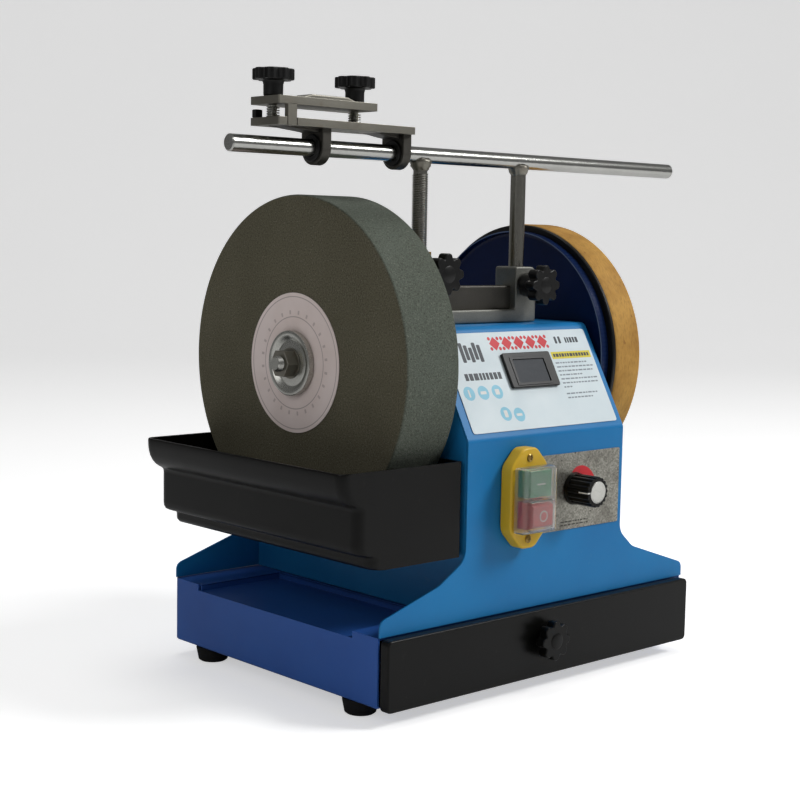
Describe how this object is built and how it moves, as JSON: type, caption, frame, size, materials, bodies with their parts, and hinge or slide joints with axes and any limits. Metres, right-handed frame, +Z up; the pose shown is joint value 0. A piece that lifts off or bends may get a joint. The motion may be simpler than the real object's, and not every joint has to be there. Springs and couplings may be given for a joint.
{
  "type": "wet grinding sharpener",
  "caption": "Bench wet sharpener: water-cooled stone and leather honing wheel on one spindle, with trough, drawer base, speed control and a bar carrying a clamping jig.",
  "frame": {"origin": "middle of the overall footprint, on the floor under the rubber feet", "axes": "+X along the spindle from the grinding stone to the honing wheel, -Y towards the user and the controls, +Z up"},
  "size_m": [0.471, 0.2868, 0.4521],
  "materials": {
    "blue_paint": "smooth semi-gloss paint on sheet steel",
    "navy_paint": "semi-gloss dark blue paint on sheet steel",
    "black_plastic": "moulded black plastic, semi-gloss",
    "grit": "open-grained abrasive, matt",
    "paper": "printed paper disc, matt",
    "leather": "flesh-side leather strip, worn",
    "steel": "bright satin steel",
    "chrome": "polished plated bar",
    "cast": "sand-cast, lightly blasted",
    "rubber": "matt black rubber",
    "yellow_plastic": "moulded yellow plastic",
    "green_plastic": "moulded green plastic",
    "red_plastic": "moulded red plastic",
    "clear_plastic": "clear flexible plastic",
    "white_label": "printed white film, plain shapes only",
    "display_glass": "dark display lens",
    "bronze": "turned brass, knurled",
    "board": "glass-fibre circuit board"
  },
  "bodies": {
    "machine": {"base_pan": "navy_paint", "tray_floor": "navy_paint", "foot_front_left": "rubber", "foot_front_right": "rubber", "foot_rear_left": "rubber", "foot_rear_right": "rubber", "front_panel": "blue_paint", "rear_panel": "blue_paint", "side_plate_left": "blue_paint", "side_plate_right": "blue_paint", "label_plate": "white_label", "display_bezel": "black_plastic", "display_window": "display_glass", "switch_body": "yellow_plastic", "switch_cover": "clear_plastic", "dial_plate": "steel", "potentiometer": "black_plastic", "speed_controller": "board", "bearing_left": "steel", "bearing_right": "steel", "motor_body": "steel", "support_bracket": "cast", "cable_gland": "black_plastic"},
    "spindle": {"main_shaft": "steel", "inner_flange": "steel", "grinding_stone": "grit", "stone_label": "paper", "outer_flange": "steel", "stone_nut": "steel", "drive_disc": "blue_paint", "honing_core": "black_plastic", "leather_band": "leather", "honing_nut": "black_plastic"},
    "rotor": {"motor_shaft": "steel", "drive_roller": "rubber"},
    "start": {"start_button": "green_plastic"},
    "stop": {"stop_button": "red_plastic"},
    "dial": {"speed_knob": "black_plastic", "knob_cap": "steel"},
    "drawer": {"drawer_box": "steel", "drawer_front": "black_plastic", "drawer_knob": "black_plastic"},
    "trough": {"water_trough": "black_plastic", "trough_magnet": "steel"},
    "support": {"support_bar": "chrome", "threaded_leg": "steel", "plain_leg": "steel"},
    "adjuster": {"adjuster_nut": "bronze"},
    "lock_left": {"lock_knob_left": "black_plastic"},
    "lock_right": {"lock_knob_right": "black_plastic"},
    "carriage": {"jig_bush_left": "black_plastic", "jig_bush_right": "black_plastic"},
    "jaw": {"lower_jaw": "steel", "clamp_spring_left": "steel", "clamp_spring_right": "steel"},
    "top_jaw": {"upper_jaw": "steel"},
    "clamp_left": {"clamp_knob_left": "black_plastic"},
    "clamp_right": {"clamp_knob_right": "black_plastic"}
  },
  "joints": [
    {"name": "spindle_spin", "type": "hinge", "parent": "machine", "child": "spindle", "pos_m": [-0.1105, 0.0114, 0.2435], "axis": [1, 0, 0], "continuous": true},
    {"name": "motor_spin", "type": "hinge", "parent": "machine", "child": "rotor", "pos_m": [0.0045, 0.0114, 0.1503], "axis": [1, 0, 0], "continuous": true},
    {"name": "start_press", "type": "slide", "parent": "machine", "child": "start", "axis": [0, 1, 0], "range_m": [0, 0.003], "stiffness_N_per_m": 400},
    {"name": "stop_press", "type": "slide", "parent": "machine", "child": "stop", "axis": [0, 1, 0], "range_m": [0, 0.003], "stiffness_N_per_m": 400},
    {"name": "speed_turn", "type": "hinge", "parent": "machine", "child": "dial", "pos_m": [0.0373, -0.1286, 0.1491], "axis": [0, 1, 0], "range_deg": [-60, 210]},
    {"name": "drawer_slide", "type": "slide", "parent": "machine", "child": "drawer", "axis": [0, -1, 0], "range_m": [0, 0.17]},
    {"name": "trough_slide", "type": "slide", "parent": "machine", "child": "trough", "axis": [0, 0, 1], "range_m": [-0.024, 0]},
    {"name": "adjuster_turn", "type": "hinge", "parent": "machine", "child": "adjuster", "pos_m": [-0.0592, -0.0406, 0.3265], "axis": [0, 0, 1], "range_deg": [-3600, 9000]},
    {"name": "support_slide", "type": "slide", "parent": "machine", "child": "support", "axis": [0, 0, 1], "range_m": [-0.02, 0.05]},
    {"name": "lock_left_turn", "type": "hinge", "parent": "machine", "child": "lock_left", "pos_m": [-0.0592, -0.0686, 0.3117], "axis": [0, -1, 0], "range_deg": [0, 360]},
    {"name": "lock_right_turn", "type": "hinge", "parent": "machine", "child": "lock_right", "pos_m": [0.0469, -0.0686, 0.3031], "axis": [0, -1, 0], "range_deg": [0, 360]},
    {"name": "jig_slide", "type": "slide", "parent": "support", "child": "carriage", "axis": [1, 0, 0], "range_m": [-0.06, 0.01]},
    {"name": "jig_tilt", "type": "hinge", "parent": "carriage", "child": "jaw", "pos_m": [-0.1355, -0.0406, 0.3995], "axis": [1, 0, 0], "range_deg": [-75, 75]},
    {"name": "jaw_slide", "type": "slide", "parent": "jaw", "child": "top_jaw", "axis": [0, 0, -1], "range_m": [0, 0.0065], "deforming": ["clamp_spring_left", "clamp_spring_right"]},
    {"name": "clamp_left_turn", "type": "hinge", "parent": "top_jaw", "child": "clamp_left", "pos_m": [-0.1965, -0.0386, 0.4385], "axis": [0, 0, -1], "range_deg": [0, 1872]},
    {"name": "clamp_right_turn", "type": "hinge", "parent": "top_jaw", "child": "clamp_right", "pos_m": [-0.123, -0.0386, 0.4385], "axis": [0, 0, -1], "range_deg": [0, 1872]}
  ],
  "couplings": [
    {"joint": "motor_spin", "follows": "spindle_spin", "ratio": 14.357},
    {"joint": "adjuster_turn", "follows": "support_slide", "rad_per_m": 3141.6},
    {"joint": "clamp_left_turn", "follows": "jaw_slide", "rad_per_m": 5026.5},
    {"joint": "clamp_right_turn", "follows": "jaw_slide", "rad_per_m": 5026.5}
  ]
}
